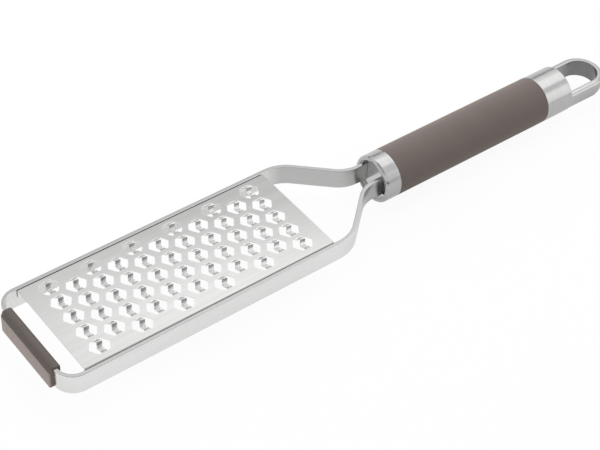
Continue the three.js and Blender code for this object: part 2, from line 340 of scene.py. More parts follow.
def closed_mesh(name, bm):
    """Welds a skin, turns its faces outwards and makes it a mesh."""
    bmesh.ops.remove_doubles(bm, verts=bm.verts, dist=WELD)
    bmesh.ops.dissolve_degenerate(bm, edges=bm.edges, dist=WELD)
    bmesh.ops.recalc_face_normals(bm, faces=bm.faces)
    mesh = bpy.data.meshes.new(name)
    bm.to_mesh(mesh)
    bm.free()
    return mesh


def add_object(name, mesh):
    obj = bpy.data.objects.new(name, mesh)
    bpy.context.scene.collection.objects.link(obj)
    return obj


def apply_modifiers(obj):
    """Makes what the object's modifiers give its plain mesh."""
    graph = bpy.context.evaluated_depsgraph_get()
    mesh = bpy.data.meshes.new_from_object(obj.evaluated_get(graph), depsgraph=graph)
    obj.modifiers.clear()
    obj.data = mesh


def add_bevel(obj, width, segments=2):
    bevel = obj.modifiers.new("Rounded edges", "BEVEL")
    bevel.width = width
    bevel.segments = segments
    bevel.limit_method = "ANGLE"
    bevel.angle_limit = SHARP_ANGLE
    bevel.use_clamp_overlap = True


def dress(obj, material, slot, *nodes):
    """Finishes a piece: smooth faces, its material, and the solids that it stands for."""
    mesh = obj.data
    mesh.polygons.foreach_set("use_smooth", [True] * len(mesh.polygons))
    mesh.set_sharp_from_angle(angle=SHARP_ANGLE)
    mesh.materials.clear()
    mesh.materials.append(material)
    normals = obj.modifiers.new("Even shading", "WEIGHTED_NORMAL")
    normals.keep_sharp = True
    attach(obj, BODY)
    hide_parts(*nodes)


# Materials

# The range that most of a noise lies in
NOISE_RANGE = (0.3, 0.7)

# How far the tone goes to either side, and how deep the grain is
STEEL_CONTRAST = 0.05
STEEL_LINE_DEPTH = 0.004 * MM
PLASTIC_CONTRAST = 0.03
PLASTIC_PIT_DEPTH = 0.02 * MM
PLASTIC_SPECULAR = 0.3

# Lines of the steel's grain per metre, along the axes of each piece's coordinates
PLATE_GRAIN = (30.0, 2500.0, 2500.0)
STRIP_GRAIN = (40.0, 4000.0, 1.0)
TURNED_GRAIN = (2600.0, 25.0, 25.0)
MACHINED_GRAIN = (900.0, 900.0, 60.0)


def add_node(tree, kind, **settings):
    node = tree.nodes.new(kind)
    for name, value in settings.items():
        setattr(node, name, value)
    return node


def new_group(name, inputs, outputs):
    """An empty shader node group with its sockets, and its input and output nodes."""
    group = bpy.data.node_groups.new(name, "ShaderNodeTree")
    for label, kind in inputs:
        group.interface.new_socket(label, in_out="INPUT", socket_type=kind)
    for label, kind in outputs:
        group.interface.new_socket(label, in_out="OUTPUT", socket_type=kind)
    return group, add_node(group, "NodeGroupInput"), add_node(group, "NodeGroupOutput")


def grain_group(name, fine_label, fine, cloud):
    """A fine texture and slow clouds of tone, each a noise with its own values, built once."""
    group = bpy.data.node_groups.get(name)
    if group:
        return group
    group, inlet, outlet = new_group(
        name,
        [("Vector", "NodeSocketVector")],
        [(fine_label, "NodeSocketFloat"), ("Cloud", "NodeSocketFloat")],
    )
    for label, values in ((fine_label, fine), ("Cloud", cloud)):
        noise = add_node(group, "ShaderNodeTexNoise")
        for socket, value in values.items():
            noise.inputs[socket].default_value = value
        group.links.new(inlet.outputs["Vector"], noise.inputs["Vector"])
        group.links.new(noise.outputs["Fac"], outlet.inputs[label])
    return group


def brushed_grain():
    """Fine lines, which the coordinates' own stretch makes long, and slow changes of tone."""
    return grain_group(
        "Brushed grain", "Line",
        {"Scale": 1.0, "Detail": 5.0, "Roughness": 0.65},
        {"Scale": 0.12, "Detail": 2.0},
    )


def moulded_grain():
    """Fine pits of a moulded matte surface, and faint clouds of tone."""
    return grain_group(
        "Moulded grain", "Pit",
        {"Scale": 2600.0, "Detail": 3.0},
        {"Scale": 70.0, "Detail": 3.0},
    )


def shading():
    """Paints light and shade: makes a colour lighter or darker where the mesh says so. Built once."""
    group = bpy.data.node_groups.get("Shading")
    if group:
        return group
    group, inlet, outlet = new_group(
        "Shading", [("Color", "NodeSocketColor")], [("Color", "NodeSocketColor")]
    )
    change = add_node(group, "ShaderNodeAttribute", attribute_name=PAINTED_LIGHT)
    level = add_node(group, "ShaderNodeMath", operation="ADD")
    level.inputs[1].default_value = 1.0
    scale = add_node(group, "ShaderNodeVectorMath", operation="SCALE")
    group.links.new(change.outputs["Fac"], level.inputs[0])
    group.links.new(inlet.outputs["Color"], scale.inputs[0])
    group.links.new(level.outputs["Value"], scale.inputs["Scale"])
    group.links.new(scale.outputs["Vector"], outlet.inputs["Color"])
    return group


def new_material(name):
    material = bpy.data.materials.new(name)
    material.use_nodes = True
    return material, material.node_tree, material.node_tree.nodes["Principled BSDF"]


def spread(tree, source, low, high, target):
    """Maps the usual range of a noise onto a range of its own, into a shader's socket."""
    change = add_node(tree, "ShaderNodeMapRange")
    labels = ("From Min", "From Max", "To Min", "To Max")
    for label, value in zip(labels, (*NOISE_RANGE, low, high)):
        change.inputs[label].default_value = value
    tree.links.new(source, change.inputs["Value"])
    tree.links.new(change.outputs["Result"], target)


def tint(tree, source, tone, change):
    """A colour that gets a little darker and lighter with a noise."""
    ramp = add_node(tree, "ShaderNodeValToRGB")
    stops = zip(ramp.color_ramp.elements, NOISE_RANGE, (1 - change, 1 + change))
    for element, position, share in stops:
        element.position = position
        element.color = (*(min(1.0, part * share) for part in tone), 1.0)
    tree.links.new(source, ramp.inputs["Fac"])
    return ramp.outputs["Color"]


def add_bump(tree, source, distance, shader):
    bump = add_node(tree, "ShaderNodeBump")
    bump.inputs["Strength"].default_value = 1.0
    bump.inputs["Distance"].default_value = distance
    tree.links.new(source, bump.inputs["Height"])
    tree.links.new(bump.outputs["Normal"], shader.inputs["Normal"])


def mark(mesh, change):
    """Stores on each point its painted light and shade: how much lighter or darker than its material it is,
    as a share of the tone.
    """
    layer = mesh.attributes.get(PAINTED_LIGHT) or mesh.attributes.new(PAINTED_LIGHT, "FLOAT", "POINT")
    layer.data.foreach_set("value", [change(point) for point in mesh.vertices])


def paint(tree, source, tone, change, shader):
    """Gives a shader its tone, varied by a noise, with the painted light and shade that the mesh holds."""
    shaded = add_node(tree, "ShaderNodeGroup", node_tree=shading())
    tree.links.new(tint(tree, source, tone, change), shaded.inputs["Color"])
    tree.links.new(shaded.outputs["Color"], shader.inputs["Base Color"])


def brushed_steel(name, tone, roughness, grain, coordinates="Object"):
    """Satin steel whose grain has the given lines per metre along each axis."""
    material, tree, shader = new_material(name)
    shader.inputs["Metallic"].default_value = 1.0
    place = add_node(tree, "ShaderNodeTexCoord")
    stretch = add_node(tree, "ShaderNodeMapping")
    stretch.inputs["Scale"].default_value = grain
    brushed = add_node(tree, "ShaderNodeGroup", node_tree=brushed_grain())
    tree.links.new(place.outputs[coordinates], stretch.inputs["Vector"])
    tree.links.new(stretch.outputs["Vector"], brushed.inputs["Vector"])
    line, cloud = brushed.outputs["Line"], brushed.outputs["Cloud"]
    paint(tree, line, tone, STEEL_CONTRAST, shader)
    spread(tree, cloud, roughness - 0.04, roughness + 0.05, shader.inputs["Roughness"])
    add_bump(tree, line, STEEL_LINE_DEPTH, shader)
    return material


def moulded_plastic(name, tone, roughness):
    """Matte plastic with fine pits."""
    material, tree, shader = new_material(name)
    shader.inputs["Specular IOR Level"].default_value = PLASTIC_SPECULAR
    place = add_node(tree, "ShaderNodeTexCoord")
    grain = add_node(tree, "ShaderNodeGroup", node_tree=moulded_grain())
    tree.links.new(place.outputs["Object"], grain.inputs["Vector"])
    pit, cloud = grain.outputs["Pit"], grain.outputs["Cloud"]
    paint(tree, cloud, tone, PLASTIC_CONTRAST, shader)
    spread(tree, pit, roughness - 0.06, roughness + 0.06, shader.inputs["Roughness"])
    add_bump(tree, pit, PLASTIC_PIT_DEPTH, shader)
    return material


# Grating plate

def band_line(settings):
    """The band's middle line across a hole, as (y, z) from the middle of the sheet."""
    half, step = settings.hole_width / 2, settings.step_offset
    change = settings.sheet / 5
    line = rounded_line([
        (-half, 0, 0),
        (settings.near_run - half, 0, settings.near_root),
        (step, -settings.band_dip, settings.dip_fold),
        # Extra points on the step, where its painted light turns to painted shade
        (step, settings.step_paint_split - change, 0),
        (step, settings.step_paint_split + change, 0),
        (step, settings.band_rise, settings.peak_fold),
        (half - settings.far_run, 0, settings.far_root),
        (half, 0, 0),
    ], BAND_STEP)
    return [(point.x, point.y) for point in line]


def height_on(line, y):
    """Height of a line where it first reaches y."""
    for (y0, z0), (y1, z1) in zip(line, line[1:]):
        if min(y0, y1) <= y <= max(y0, y1):
            return z0 + (z1 - z0) * (y - y0) / (y1 - y0)
    raise ValueError(f"{y} lies outside the band")


def band_rows(settings):
    """Rows of the band from its near end to its far end, as (y, z, half width)."""
    line = band_line(settings)
    half, width = settings.hole_width / 2, settings.band_width / 2
    near, far = settings.near_fillet, settings.far_fillet

    def flare(fillet):
        """Distances from the hole's edge, with the half widths that a fillet gives there."""
        turns = quarter_turn(FILLET_STEPS)
        return [(fillet * (1 - math.cos(a)), width + fillet * (1 - math.sin(a))) for a in turns]

    rows = [(gap - half, height_on(line, gap - half), reach) for gap, reach in flare(near)]
    rows += [(y, z, width) for y, z in line if near - half + WELD < y < half - far - WELD]
    back = line[::-1]
    rows += [(half - gap, height_on(back, half - gap), reach) for gap, reach in flare(far)[::-1]]
    return rows


def hole_side(settings):
    """The right-hand edge of a hole from the band's near end to its far end."""
    half, tip = settings.hole_width / 2, settings.hole_length / 2
    width, corner = settings.band_width / 2, settings.hole_corner
    line = rounded_line([
        (width + settings.near_fillet, -half, 0),
        (tip / 2, -half, corner),
        (tip, 0, corner),
        (tip / 2, half, corner),
        (width + settings.far_fillet, half, 0),
    ], HOLE_STEP)
    return [(point.x, point.y) for point in line]


def hole_tile(settings):
    """One hole with its band in a rectangle of sheet, as a skin at the middle of the sheet."""
    bm = bmesh.new()
    across, along = settings.row_pitch / 2, settings.column_pitch / 2
    rows, side = band_rows(settings), hole_side(settings)
    foot_x = settings.hole_length / 4
    lower = [point for point in side if point[1] <= 0]
    upper = [point for point in side if point[1] >= 0]
    tip = (max(point[0] for point in side), 0.0)
    lower = lower if lower[-1][1] == 0 else [*lower, tip]
    upper = upper if upper[0][1] == 0 else [tip, *upper]

    def face(points, mirror):
        corners = [bm.verts.new((mirror * x, y, z)) for x, y, z in points]
        bm.faces.new(corners if mirror == 1 else corners[::-1])

    near_y, far_y = rows[0][0], rows[-1][0]
    flats = [
        [(0, -across), (foot_x, -across), (rows[0][2], near_y), (0, near_y)],
        [(0, far_y), (rows[-1][2], far_y), (foot_x, across), (0, across)],
        [(foot_x, -across), (along, -across), (along, -across / 2), (along, 0.0), *lower[::-1]],
        [*upper[::-1], (along, 0.0), (along, across / 2), (along, across), (foot_x, across)],
    ]
    for mirror in (1, -1):
        for (y0, z0, w0), (y1, z1, w1) in zip(rows, rows[1:]):
            face([(0, y0, z0), (w0, y0, z0), (w1, y1, z1), (0, y1, z1)], mirror)
        for points in flats:
            face([(x, y, 0.0) for x, y in points], mirror)
    bmesh.ops.remove_doubles(bm, verts=bm.verts, dist=WELD)
    mesh = bpy.data.meshes.new("hole_tile")
    bm.to_mesh(mesh)
    bm.free()

    def painted_light_at(point):
        """The band's painted light, fading out where it leaves the sheet, and painted shade at the top of
        its step.
        """
        x, y, z = point.co
        if abs(x) > settings.band_width / 2 + WELD:
            return 0.0
        if z > settings.step_paint_split and y < settings.step_offset + settings.peak_fold / 2:
            return settings.step_painted_shade - 1
        run = settings.far_run if y > 0 else 3 * settings.near_fillet
        return (settings.band_painted_light - 1) * min(1.0, max(0.0, (settings.hole_width / 2 - abs(y)) / run))

    mark(mesh, painted_light_at)
    return mesh


def build_hole_pattern():
    """A node tree that sets its geometry at staggered places, column by column."""
    tree = bpy.data.node_groups.new("Hole pattern", "GeometryNodeTree")
    inputs = [
        ("Geometry", "NodeSocketGeometry"), ("Columns", "NodeSocketInt"), ("Rows", "NodeSocketInt"),
        ("Column pitch", "NodeSocketFloat"), ("Row pitch", "NodeSocketFloat"),
        ("First hole", "NodeSocketVector"), ("Weld", "NodeSocketFloat"), ("Material", "NodeSocketMaterial"),
    ]
    for label, kind in inputs:
        tree.interface.new_socket(label, in_out="INPUT", socket_type=kind)
    tree.interface.new_socket("Geometry", in_out="OUTPUT", socket_type="NodeSocketGeometry")
    inlet = add_node(tree, "NodeGroupInput")
    outlet = add_node(tree, "NodeGroupOutput")

    def sum_up(operation, first, second):
        node = add_node(tree, "ShaderNodeMath", operation=operation)
        for socket, value in zip(node.inputs, (first, second)):
            if isinstance(value, (int, float)):
                socket.default_value = value
            else:
                tree.links.new(value, socket)
        return node.outputs["Value"]

    index = add_node(tree, "GeometryNodeInputIndex").outputs["Index"]
    count = inlet.outputs["Rows"]
    column = sum_up("FLOOR", sum_up("DIVIDE", sum_up("ADD", index, 0.5), count), 0.0)
    row = sum_up("SUBTRACT", index, sum_up("MULTIPLY", column, count))
    odd = sum_up("MODULO", column, 2.0)
    x = sum_up("MULTIPLY", column, inlet.outputs["Column pitch"])
    y = sum_up("MULTIPLY", sum_up("ADD", row, sum_up("MULTIPLY", odd, 0.5)), inlet.outputs["Row pitch"])
    kept = sum_up("LESS_THAN", sum_up("ADD", row, odd), sum_up("SUBTRACT", count, 0.5))

    points = add_node(tree, "GeometryNodeMeshLine")
    place = add_node(tree, "ShaderNodeCombineXYZ")
    shift = add_node(tree, "ShaderNodeVectorMath", operation="ADD")
    spots = add_node(tree, "GeometryNodeSetPosition")
    copies = add_node(tree, "GeometryNodeInstanceOnPoints")
    real = add_node(tree, "GeometryNodeRealizeInstances")
    weld = add_node(tree, "GeometryNodeMergeByDistance")
    finish = add_node(tree, "GeometryNodeSetMaterial")
    joins = [
        (sum_up("MULTIPLY", inlet.outputs["Columns"], count), points.inputs["Count"]),
        (x, place.inputs["X"]),
        (y, place.inputs["Y"]),
        (place.outputs["Vector"], shift.inputs[0]),
        (inlet.outputs["First hole"], shift.inputs[1]),
        (points.outputs["Mesh"], spots.inputs["Geometry"]),
        (shift.outputs["Vector"], spots.inputs["Position"]),
        (spots.outputs["Geometry"], copies.inputs["Points"]),
        (kept, copies.inputs["Selection"]),
        (inlet.outputs["Geometry"], copies.inputs["Instance"]),
        (copies.outputs["Instances"], real.inputs["Geometry"]),
        (real.outputs["Geometry"], weld.inputs["Geometry"]),
        (inlet.outputs["Weld"], weld.inputs["Distance"]),
        (weld.outputs["Geometry"], finish.inputs["Geometry"]),
        (inlet.outputs["Material"], finish.inputs["Material"]),
        (finish.outputs["Geometry"], outlet.inputs["Geometry"]),
    ]
    for source, target in joins:
        tree.links.new(source, target)
    return tree


def set_inputs(modifier, values):
    """Sets a node tree's inputs, found by name, through their identifiers."""
    for item in modifier.node_group.interface.items_tree:
        if item.item_type == "SOCKET" and item.in_out == "INPUT" and item.name in values:
            modifier[item.identifier] = values[item.name]


def first_column(settings):
    """Place of the first column of holes along the plate."""
    return (plate_low.x + plate_high.x - (settings.columns - 1) * settings.column_pitch) / 2


def add_margins(bm, settings, level):
    """Fills the sheet between the holes and the plate's edges, and adds the turned-down sides."""
    pitch, step = settings.column_pitch, settings.row_pitch / 4
    first = first_column(settings)
    side = plate_high.y - settings.sheet / 2
    bend = side - settings.flange_bend
    foot_x = settings.hole_length / 4
    edges = [first + (column - 0.5) * pitch for column in range(settings.columns + 1)]
    stations = [plate_low.x, *edges, plate_high.x]

    def face(points):
        bm.faces.new([bm.verts.new(point) for point in points])

    def ladder(x, y0, y1):
        """Points up a column's side where the rectangles have theirs."""
        low, high = sorted((y0, y1))
        reach = math.ceil(bend / step) + 1
        marks = [settings.row_offset + step * i for i in range(-reach, reach + 1)]
        inner = [y for y in marks if low + WELD < y < high - WELD]
        points = [Vector((x, y, level)) for y in (low, *inner, high)]
        return points if y0 <= y1 else points[::-1]

    def stack(column):
        """Half the height of a column of holes."""
        return (settings.rows - column % 2) * settings.row_pitch / 2

    for column in range(settings.columns):
        x0, x1, middle = edges[column], edges[column + 1], first + column * pitch
        for sign in (1, -1):
            inner = settings.row_offset + sign * stack(column)
            near = [Vector((x, inner, level)) for x in (x1, middle + foot_x, middle, middle - foot_x, x0)]
            up = ladder(x0, inner, sign * bend)
            down = ladder(x1, sign * bend, inner)
            face([*near[1:-1], *up, *down])
    for x0, x1 in ((stations[0], stations[1]), (stations[-1], stations[-2])):
        face([*ladder(x1, -bend, bend), Vector((x0, bend, level)), Vector((x0, -bend, level))])
    flange = [Vector((bend, level))]
    flange += arc((bend, level - settings.flange_bend), settings.flange_bend, math.pi / 2, 0)[1:]
    flange += [Vector((side, plate_low.z))]
    for sign in (1, -1):
        for (y0, z0), (y1, z1) in zip(flange, flange[1:]):
            for x0, x1 in zip(stations, stations[1:]):
                near, far = sign * y0, sign * y1
                face([(x0, near, z0), (x1, near, z0), (x1, far, z1), (x0, far, z1)])


class GRATER_OT_plate(bpy.types.Operator):
    """Makes the pierced plate with its folded bands"""

    bl_idname = "grater.plate"
    bl_label = "Grating plate"

    def execute(self, context):
        settings = context.scene.grater_plate
        material = brushed_steel("satin_plate", settings.tone, settings.roughness, PLATE_GRAIN)
        level = PLATE_TOP - settings.sheet / 2
        plate = add_object("pierced_plate", hole_tile(settings))
        pattern = plate.modifiers.new("Hole pattern", "NODES")
        pattern.node_group = build_hole_pattern()
        set_inputs(pattern, {
            "Columns": settings.columns,
            "Rows": settings.rows,
            "Column pitch": settings.column_pitch,
            "Row pitch": settings.row_pitch,
            "First hole": (
                first_column(settings),
                settings.row_offset - (settings.rows - 1) * settings.row_pitch / 2,
                level,
            ),
            "Weld": WELD,
            "Material": material,
        })
        apply_modifiers(plate)
        bm = bmesh.new()
        bm.from_mesh(plate.data)
        add_margins(bm, settings, level)
        plate.data = closed_mesh("pierced_plate", bm)
        walls = plate.modifiers.new("Sheet", "SOLIDIFY")
        walls.thickness = settings.sheet
        walls.offset = 0.0
        walls.use_even_offset = True
        walls.use_quality_normals = True
        add_bevel(plate, settings.rim)
        apply_modifiers(plate)
        on_band = [item.value for item in plate.data.attributes[PAINTED_LIGHT].data]

        def painted_light_at(point):
            """The bands' painted light and shade, and painted light on the cut edges and the flanges' inner
            sides as well.
            """
            y, normal = point.co.y, point.normal
            outside = abs(y) > plate_high.y - 2 * settings.sheet and y * normal.y > 0
            if outside or on_band[point.index] < 0:
                return on_band[point.index]
            return max(on_band[point.index], (settings.band_painted_light - 1) * (1 - normal.z ** 2))

        mark(plate.data, painted_light_at)
        dress(plate, material, "plate_steel", "grater_plate")
        return {"FINISHED"}


# Strip frame

def strip_line(settings):
    """The bar's middle line, from one tang round the plate to the other."""
    arm_y = strip_high.y - settings.thickness / 2
    tang_y = (settings.tang_opening + settings.thickness) / 2
    turn_x = PLATE_REAR + settings.arm_overrun
    arm = [
        (strip_low.x + settings.thickness / 2, arm_y, settings.front_corner),
        (turn_x, arm_y, settings.arm_bend),
        (turn_x + settings.shoulder, tang_y, settings.tang_bend),
        (strip_high.x, tang_y, 0.0),
    ]
    return rounded_line([(x, -y, radius) for x, y, radius in arm[::-1]] + arm, BEND_STEP)


def swept_bar(line, section):
    """Rings of a section (sideways, up) carried along a level line."""
    rings = []
    for i, place in enumerate(line):
        arriving = (place - line[max(i - 1, 0)]).normalized()
        leaving = (line[min(i + 1, len(line) - 1)] - place).normalized()
        run = (arriving + leaving).normalized()
        stretch = 1 / max(run.dot(leaving), run.dot(arriving))
        sideways = Vector((-run.y, run.x)) * stretch
        rings.append([Vector((*(place + sideways * across), up)) for across, up in section])
    return rings


class GRATER_OT_strip(bpy.types.Operator):
    """Makes the bar that is bent round the plate and runs into the handle"""

    bl_idname = "grater.strip"
    bl_label = "Strip frame"

    def execute(self, context):
        settings = context.scene.grater_strip
        half, edge = settings.thickness / 2, settings.edge
        section = rounded_line([
            (-half, strip_low.z, edge),
            (half, strip_low.z, edge),
            (half, strip_high.z, edge),
            (-half, strip_high.z, edge),
        ], COARSE_STEP, closed=True)
        bm = bmesh.new()
        loft(bm, swept_bar(strip_line(settings), section), capped=True)
        strip = add_object("strip_bar", closed_mesh("strip_bar", bm))

        def painted_shade_at(point):
            """Painted shade: darker on the cut edges and the shoulders' inner faces, and more so towards the
            tangs.
            """
            behind = max(0.0, point.co.x - PLATE_REAR)
            shares = [
                (settings.tang_painted_shade, min(1.0, behind / (ferrule_low.x - PLATE_REAR))),
                (settings.edge_painted_shade, point.normal.z ** 2),
            ]
            if section[point.index % len(section)].x < 0:
                shares.append((settings.inner_painted_shade, min(1.0, behind / settings.arm_overrun)))
            return min((level - 1) * share for level, share in shares)

        mark(strip.data, painted_shade_at)
        material = brushed_steel("satin_strip", settings.tone, settings.roughness, STRIP_GRAIN, "UV")
        dress(strip, material, "strip_steel", "frame_strip")
        return {"FINISHED"}


# Front foot

class GRATER_OT_foot(bpy.types.Operator):
    """Makes the plastic channel over the front bar"""

    bl_idname = "grater.foot"
    bl_label = "Front foot"

    def execute(self, context):
        settings = context.scene.grater_foot
        inside = foot_low.x + settings.front_wall
        lip = foot_high.x - settings.lip_wall
        ceiling = foot_high.z - settings.top_wall
        lip_low = foot_high.z - settings.lip_depth
        thinned = settings.top_wall / 2 / settings.end_edge

        def ring(y, inset):
            """The channel's section, drawn in from outside by an inset."""
            front, rear = foot_low.x + inset, foot_high.x - inset
            top = foot_high.z - inset * thinned
            lower = max(settings.lower_edge - inset, LEAST_EDGE)
            upper = max(settings.rear_edge - inset, LEAST_EDGE)
            section = rounded_line([
                (front, foot_low.z + inset, lower),
                (inside, foot_low.z + inset, lower),
                (inside, ceiling - inset / 2, 0),
                (lip, ceiling - inset * thinned, 0),
                (lip, lip_low + inset, lower),
                (rear, lip_low + inset, lower),
                (rear, top, upper),
                (front + settings.ramp_width, top - settings.ramp_top, settings.front_edge),
                (front, top - settings.ramp_drop, settings.front_edge),
            ], closed=True)
            return [Vector((p.x, y, p.y)) for p in section]

        def end(y, inwards):
            """Rings that round one end, from its face on."""
            edge = settings.end_edge
            turns = quarter_turn(EDGE_STEPS)
            return [ring(y + inwards * edge * (1 - math.cos(a)), edge * (1 - math.sin(a))) for a in turns]

        bm = bmesh.new()
        loft(bm, [*end(foot_high.y, -1), *end(foot_low.y, 1)[::-1]], capped=True)
        foot = add_object("channel_foot", closed_mesh("channel_foot", bm))
        middle = (foot_low.x + foot_high.x) / 2
        lean = math.sin(math.atan2(settings.ramp_width, settings.ramp_drop - settings.ramp_top))

        def painted_shade_at(point):
            """Painted shade: darkest on the ramp, and lighter over the top to the rear edge."""
            place, up = point.co, point.normal.z
            if up <= 0 or place.x > middle or place.z < ceiling - settings.ramp_drop:
                return 0.0
            if up < lean:
                return (settings.ramp_painted_shade - 1) * up / lean
            share = (up - lean) / (1 - lean)
            return settings.ramp_painted_shade + (settings.top_painted_shade - settings.ramp_painted_shade) * share - 1

        mark(foot.data, painted_shade_at)
        material = moulded_plastic("matte_foot", settings.tone, settings.roughness)
        dress(foot, material, "foot_plastic", "front_foot")
        return {"FINISHED"}


# Handle

def turned_steel(settings):
    return bpy.data.materials.get("satin_turned") or brushed_steel(
        "satin_turned", settings.steel_tone, settings.steel_roughness, TURNED_GRAIN
    )


def stepped_slots(inner, narrow, wide, start, low, high):
    """A mirrored pair of cutters from an inner side to two outer sides, each (y, x where it ends)."""
    (narrow_y, deep), (wide_y, shallow) = narrow, wide
    outline = [
        (start, inner), (deep, inner), (deep, narrow_y),
        (shallow, narrow_y), (shallow, wide_y), (start, wide_y),
    ]
    bm = bmesh.new()
    for side in (1, -1):
        loft(bm, [[Vector((x, side * y, z)) for x, y in outline] for z in (low, high)], capped=True)
    return add_object("tang_slots", closed_mesh("tang_slots", bm))


class GRATER_OT_collar(bpy.types.Operator):
    """Makes the cupped collar that the tangs enter"""

    bl_idname = "grater.collar"
    bl_label = "Collar"

    def execute(self, context):
        settings = context.scene.grater_handle
        bar = context.scene.grater_strip
        front, rear = ferrule_low.x, ferrule_high.x
        cup = HANDLE_RADIUS - settings.collar_wall
        bore = HANDLE_RADIUS - settings.grip_wall
        floor_front = front + settings.cup_depth
        floor_rear = floor_front + settings.cup_floor
        seam = settings.seam_edge
        profile = rounded_line([
            (floor_front, 0, 0),
            (floor_front, cup, seam),
            (front, cup, settings.collar_wall - settings.collar_lip),
            (front, HANDLE_RADIUS, settings.collar_lip),
            (rear, HANDLE_RADIUS, seam),
            (rear, bore, seam),
            (floor_rear, bore, 0),
            (floor_rear, 0, 0),
        ])
        collar = add_object("collar", closed_mesh("collar", turned(profile)))
        gap = settings.slot_clearance
        tang_y = (bar.tang_opening + bar.thickness) / 2
        inner = tang_y - bar.thickness / 2 - gap
        outer = tang_y + bar.thickness / 2
        slots = stepped_slots(
            inner,
            narrow=(outer + gap, floor_rear + settings.cup_floor),
            wide=(outer + settings.slot_outer, floor_front + settings.slot_recess),
            start=floor_front - settings.cup_floor,
            low=strip_low.z - gap,
            high=strip_high.z + gap,
        )
        cut = collar.modifiers.new("Tang slots", "BOOLEAN")
        cut.operation = "DIFFERENCE"
        cut.solver = "EXACT"
        cut.object = slots
        apply_modifiers(collar)
        bpy.data.objects.remove(slots)

        def in_cup(point):
            """Painted light that lifts the shade inside the cup, but not on its lip."""
            x, y, z = point.co
            deep = floor_front - settings.cup_depth / 2 < x < floor_front + WELD
            inside = deep and math.hypot(y, z - HANDLE_AXIS) < cup + WELD
            return settings.cup_painted_light - 1 if inside else 0.0

        mark(collar.data, in_cup)
        dress(collar, turned_steel(settings), "turned_steel", "front_ferrule")
        return {"FINISHED"}


class GRATER_OT_grip(bpy.types.Operator):
    """Makes the round grip"""

    bl_idname = "grater.grip"
    bl_label = "Grip"

    def execute(self, context):
        settings = context.scene.grater_handle
        seam, bore = settings.seam_edge, HANDLE_RADIUS - settings.grip_wall
        profile = rounded_line([
            (grip_low.x, bore, seam),
            (grip_low.x, HANDLE_RADIUS, seam),
            (grip_high.x, HANDLE_RADIUS, seam),
            (grip_high.x, bore, seam),
        ], COARSE_STEP, closed=True)
        grip = add_object("round_grip", closed_mesh("round_grip", turned(profile)))
        material = moulded_plastic("matte_grip", settings.grip_tone, settings.grip_roughness)
        dress(grip, material, "grip_plastic", "grip_sleeve")
        return {"FINISHED"}


def flat_fillet(level, radius):
    """The rounding from the round bar to a level cut, as its angle on the bar and its points."""
    side = math.copysign(1.0, level)
    centre_up = level - side * radius
    centre_out = math.sqrt((HANDLE_RADIUS - radius) ** 2 - centre_up ** 2)
    angle = math.atan2(centre_up, centre_out)
    return angle, arc((centre_out, centre_up), radius, angle, side * math.pi / 2)


# The angle over which the rounding of the cap's step sets in
STEP_REACH = math.radians(12)


